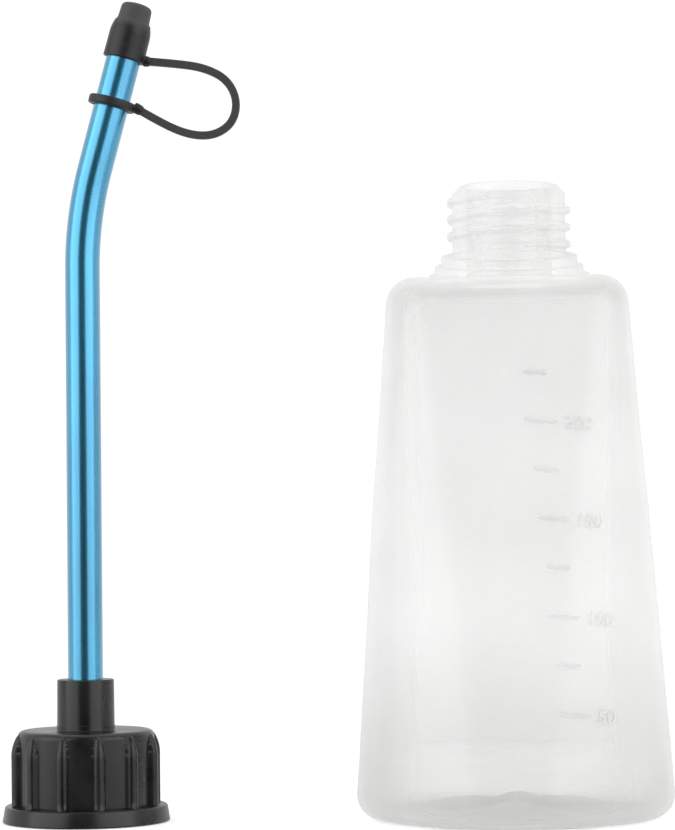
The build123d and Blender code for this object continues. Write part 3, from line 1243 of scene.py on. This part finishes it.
@dataclass
class Tether:
    """Rubber ring on the tube, the strap, and the tip cap that it holds."""

    spout: Spout
    strap_length: float = 46.8
    strap_width: float = 1.55
    strap_thickness: float = 1.62
    strap_square: float = 0.32
    strap_groove: float = 0.07
    groove_reach: float = 0.16
    lug_radius: float = 1.05
    bore: float = 3.64
    ring_start: float = 12.9
    ring_height: float = 1.85
    ring_wall: float = 1.23
    tip_start: float = 23.1
    skirt_length: float = 6.6
    skirt_walls: tuple[float, float] = (0.65, 0.48)
    dome_radius: float = 3.28
    dome_start: float = 8.6
    dome_top: float = 11.9
    depth: float = 5.9
    # Stretch of the tip cap, from its foot, over which painted light lightens the dome end.
    painted_light_reach: tuple[float, float] = (5.5, 9.2)
    voxel: float = 0.11
    relaxing: int = 5
    columns: int = 96

    def turned(
        self, name: str, start: float, profile: Sequence[tuple[float, float]], ends: Ends
    ) -> bpy.types.Object:
        """Body turned about the upper tube's axis.

        Args:
            name: Name of the body.
            start: Distance of its foot above the bend.
            profile: Pairs of radius and height over the foot.
            ends: How its first and last row are closed.

        Returns:
            The body.
        """
        grid = Grid(name)
        foot = self.spout.on_upper(start)
        for radius, height in profile:
            grid.add(self.spout.ring(foot, self.spout.bend, max(radius, 0.01), height))
        return grid.build(ends)

    def lug(self, place: np.ndarray, towards: np.ndarray, back: float) -> bpy.types.Object:
        """Rounded root of the strap on a moulding.

        Args:
            place: Where the strap begins, in metres.
            towards: Where the strap goes from there, in metres.
            back: How far the root reaches behind that place.

        Returns:
            The body.
        """
        start, run = np.array(place) / MM, (np.array(towards) - np.array(place)) / MM
        along = run / np.linalg.norm(run)
        grid = Grid("root")
        turns = np.linspace(0, FULL_TURN, 32, endpoint=False)
        rim = np.outer(np.cos(turns), DEEP) + np.outer(np.sin(turns), np.cross(DEEP, along))
        swell = ((-back, 1.0), (-back * 0.5, 1.06), (0.0, 1.02), (0.3, 0.97), (0.5, 0.8))
        for shift, size in swell:
            grid.add(start + along * shift + rim * self.lug_radius * size)
        return grid.build(Ends.FLAT)

    def route(self) -> np.ndarray:
        """Points read from the strap's spline, in metres."""
        curve = bpy.data.curves.new("strap_route", "CURVE")
        curve.dimensions = "3D"
        curve.resolution_u = 14
        spline = curve.splines.new("NURBS")
        spline.points.add(len(STRAP_ROUTE) - 1)
        for point, place in zip(spline.points, STRAP_ROUTE):
            point.co = (*place, 1.0)
        spline.order_u = 3
        spline.use_endpoint_u = True
        return np.array([tuple(v.co) for v in curve_mesh(curve).vertices])

    def strap(self) -> bpy.types.Object:
        places = self.route()
        grid = Grid("tether_strap_band")
        turns = np.linspace(0, FULL_TURN, 40, endpoint=False)
        power = self.strap_square
        c, s = np.cos(turns), np.sin(turns)
        wide = np.sign(c) * np.abs(c) ** power * self.strap_width / 2
        thick = np.sign(s) * np.abs(s) ** power * self.strap_thickness / 2
        groove = self.strap_groove * np.exp(-((thick / self.groove_reach) ** 2)) * np.sign(wide)
        wide = wide - np.where(np.abs(c) > 0.5, groove, 0.0)
        tangents = np.gradient(places, axis=0)
        for place, tangent in zip(places, tangents):
            along = tangent / np.linalg.norm(tangent)
            across = np.outer(wide, DEEP) + np.outer(thick, np.cross(DEEP, along))
            grid.add(place / MM + across)
        piece = grid.build(Ends.FLAT)
        dress(piece, Rubber("strap_rubber", grey(0.045), (0.085, 0.078, 0.072, 1.0)).material())
        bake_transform(piece)
        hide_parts("tether_strap")
        return piece

    def ring(self) -> bpy.types.Object:
        """Builds the ring that slides on the tube."""
        outer, high = self.bore + self.ring_wall, self.ring_height
        corners = [
            Corner(self.bore, high / 2),
            Corner(self.bore, 0.0, 0.2),
            Corner(outer, 0.0, 0.45),
            Corner(outer, high, 0.45),
            Corner(self.bore, high, 0.2),
            Corner(self.bore, high / 2),
        ]
        band = self.turned("band", self.ring_start, rounded_profile(corners)[:-1], Ends.LOOP)
        root = self.lug(STRAP_ROUTE[-1], STRAP_ROUTE[-2], 1.4)
        piece = moulded("tether_ring_band", [band, root], self.voxel, self.relaxing)
        dress(piece, Rubber("ring_rubber", grey(0.012), grey(0.035), 0.42).material())
        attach(piece, "tether")
        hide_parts("tether_ring")
        return piece

    def tip(self) -> bpy.types.Object:
        """Builds the tip cap."""
        mouth, neck = self.bore + self.skirt_walls[0], self.bore + self.skirt_walls[1]
        corners = [
            Corner(0.0, self.depth),
            Corner(self.bore, self.depth, 0.3),
            Corner(self.bore, 0.0, 0.15),
            Corner(mouth, 0.0, 0.2),
            Corner(mouth - 0.04, 0.9, 0.3),
            Corner(neck + 0.08, self.skirt_length - 0.6, 1.2),
            Corner(neck - 0.4, self.skirt_length + 1.2, 0.35),
            Corner(self.dome_radius + 0.1, self.dome_start - 0.5, 0.3),
            Corner(self.dome_radius, self.dome_start + 0.1, 0.4),
            Corner(self.dome_radius - 0.14, self.dome_top - 0.45, 1.4),
            Corner(1.3, self.dome_top, 1.2),
            Corner(0.0, self.dome_top),
        ]
        body = self.turned("hood", self.tip_start, rounded_profile(corners, 6), Ends.POLES)
        root = self.lug(STRAP_ROUTE[0], STRAP_ROUTE[1], 0.9)
        piece = moulded("tip_cap_hood", [body, root], self.voxel, self.relaxing)
        axis = self.spout.direction
        foot = float(self.spout.on_upper(self.tip_start) @ axis) * MM
        # The tip's dome end is painted lighter, as light falling from above would show it.
        finish = Rubber(
            "tip_rubber",
            grey(0.006),
            (0.062, 0.062, 0.064, 1.0),
            0.38,
            tuple(axis),
            foot + self.painted_light_reach[0] * MM,
            foot + self.painted_light_reach[1] * MM,
        )
        dress(piece, finish.material())
        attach(piece, "tip")
        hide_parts("tip_cap")
        return piece

    def build(self) -> list[bpy.types.Object]:
        """Builds the strap first, then the ring and the tip cap."""
        return [self.strap(), self.ring(), self.tip()]


def dress_carried_over() -> list[bpy.types.Object]:
    """Gives the liner and the seal ring, whose shapes are right, their finishes."""
    nodes = frame["nodes"]
    liner, seal = nodes["cap_liner"], nodes["tube_seal"]
    dress(liner, LinerFoam().material())
    dress(seal, Rubber("seal_rubber", grey(0.010), grey(0.030), 0.34).material())
    return [liner, seal]


# ---- studio ------------------------------------------------------------------


@dataclass(frozen=True)
class Softbox:
    """Soft light, in metres and watts, which the camera doesn't see."""

    name: str
    place: tuple[float, float, float]
    size: tuple[float, float]
    power: float

    def build(self, target: Vector) -> None:
        """Places the light, facing the target."""
        light = bpy.data.lights.new(self.name, "AREA")
        light.shape = "RECTANGLE"
        light.size, light.size_y = self.size
        light.energy = self.power
        holder = bpy.data.objects.new(self.name, light)
        holder.location = self.place
        towards = target - Vector(self.place)
        holder.rotation_euler = towards.to_track_quat("-Z", "Y").to_euler()
        holder.visible_camera = False
        bpy.context.scene.collection.objects.link(holder)


@dataclass
class Studio:
    """Pale floor, soft lights, white surround and the camera."""

    floor_drop: float = 0.0001
    floor_rings: tuple[float, ...] = (0.08, 0.16, 0.24)
    floor_columns: int = 96
    eye: tuple[float, float, float] = (-0.0354, -0.612, 0.062)
    aim: tuple[float, float, float] = (-0.0354, 0.0, 0.0819)
    roll: float = math.radians(-0.6)
    lens: float = 130.2
    sensor: float = 36.0
    surround: float = 0.85
    camera_side: float = 0.11
    camera_side_depth: float = -0.75
    white: float = 1.05
    lit_height: float = 0.08
    softboxes: tuple[Softbox, ...] = (
        Softbox("left_softbox", (-1.07, -0.75, 0.50), (1.45, 1.3), 9.9),
        Softbox("right_softbox", (0.93, -0.89, 0.50), (1.45, 1.3), 9.9),
        Softbox("top_softbox", (-0.03, 0.1, 1.7), (1.8, 1.8), 4.5),
    )

    def floor(self) -> None:
        """Builds the floor."""
        count = self.floor_columns
        turns = np.linspace(0, FULL_TURN, count, endpoint=False)
        rings = [round_row(turns, radius, -self.floor_drop) for radius in self.floor_rings]
        faces: list[tuple[int, ...]] = [tuple(range(count))]
        for near in range(0, (len(rings) - 1) * count, count):
            far = near + count
            for j in range(count):
                k = (j + 1) % count
                faces.append((near + j, far + j, far + k, near + k))
        paper = made_object("floor_paper", np.concatenate(rings), faces)
        dress(paper, StudioPaper().material())
        paper.visible_glossy = False

    def world(self) -> None:
        """Makes the surround: white for the eye, and dimmer on the camera's side in reflections."""
        world = bpy.data.worlds.new("white_surround")
        bpy.context.scene.world = world
        world.use_nodes = True
        made = Nodes(world.node_tree, "ShaderNodeOutputWorld")
        around = made.node("ShaderNodeTexCoord", output="Generated")
        depth = made.node("ShaderNodeSeparateXYZ", {}, {0: around}, "Y")
        glow = made.spread(depth, self.camera_side_depth, 0.0, self.camera_side, self.surround)
        colour = grey(1.0)
        studio = made.node("ShaderNodeBackground", {}, {0: colour, 1: glow})
        white = made.node("ShaderNodeBackground", {}, {0: colour, 1: self.white})
        seen = made.node("ShaderNodeLightPath", output="Is Camera Ray")
        chosen = made.node("ShaderNodeMixShader", {}, {0: seen, 1: studio, 2: white})
        made.plug(made.output.inputs[0], chosen)

    def camera(self) -> None:
        """Places the camera."""
        data = bpy.data.cameras.new("studio_camera")
        data.lens = self.lens
        data.sensor_width = self.sensor
        data.clip_start, data.clip_end = 0.01, 50.0
        holder = bpy.data.objects.new("studio_camera", data)
        holder.location = self.eye
        towards = Vector(self.aim) - Vector(self.eye)
        level = towards.to_track_quat("-Z", "Y").to_matrix()
        holder.rotation_euler = (level @ Matrix.Rotation(self.roll, 3, "Z")).to_euler()
        bpy.context.scene.collection.objects.link(holder)
        bpy.context.scene.camera = holder

    def build(self) -> None:
        """Builds the whole studio."""
        self.camera()
        self.floor()
        self.world()
        for softbox in self.softboxes:
            softbox.build(Vector((self.aim[0], 0.0, self.lit_height)))
        settings = bpy.context.scene.view_settings
        settings.view_transform = "Standard"
        settings.look = "None"


def main() -> None:
    """Builds every piece in order, and reports each."""
    logging.basicConfig(level=logging.INFO, format="%(message)s")
    Studio().build()
    LOG.info("studio")
    spout = Spout()
    made = Tether(spout).build()
    made += Bottle().build()
    made.append(ScrewCap().build())
    made.append(spout.build())
    made += dress_carried_over()
    for piece in made:
        LOG.info("%s: %d faces", piece.name, len(piece.data.polygons))


if __name__ == "__main__":
    main()
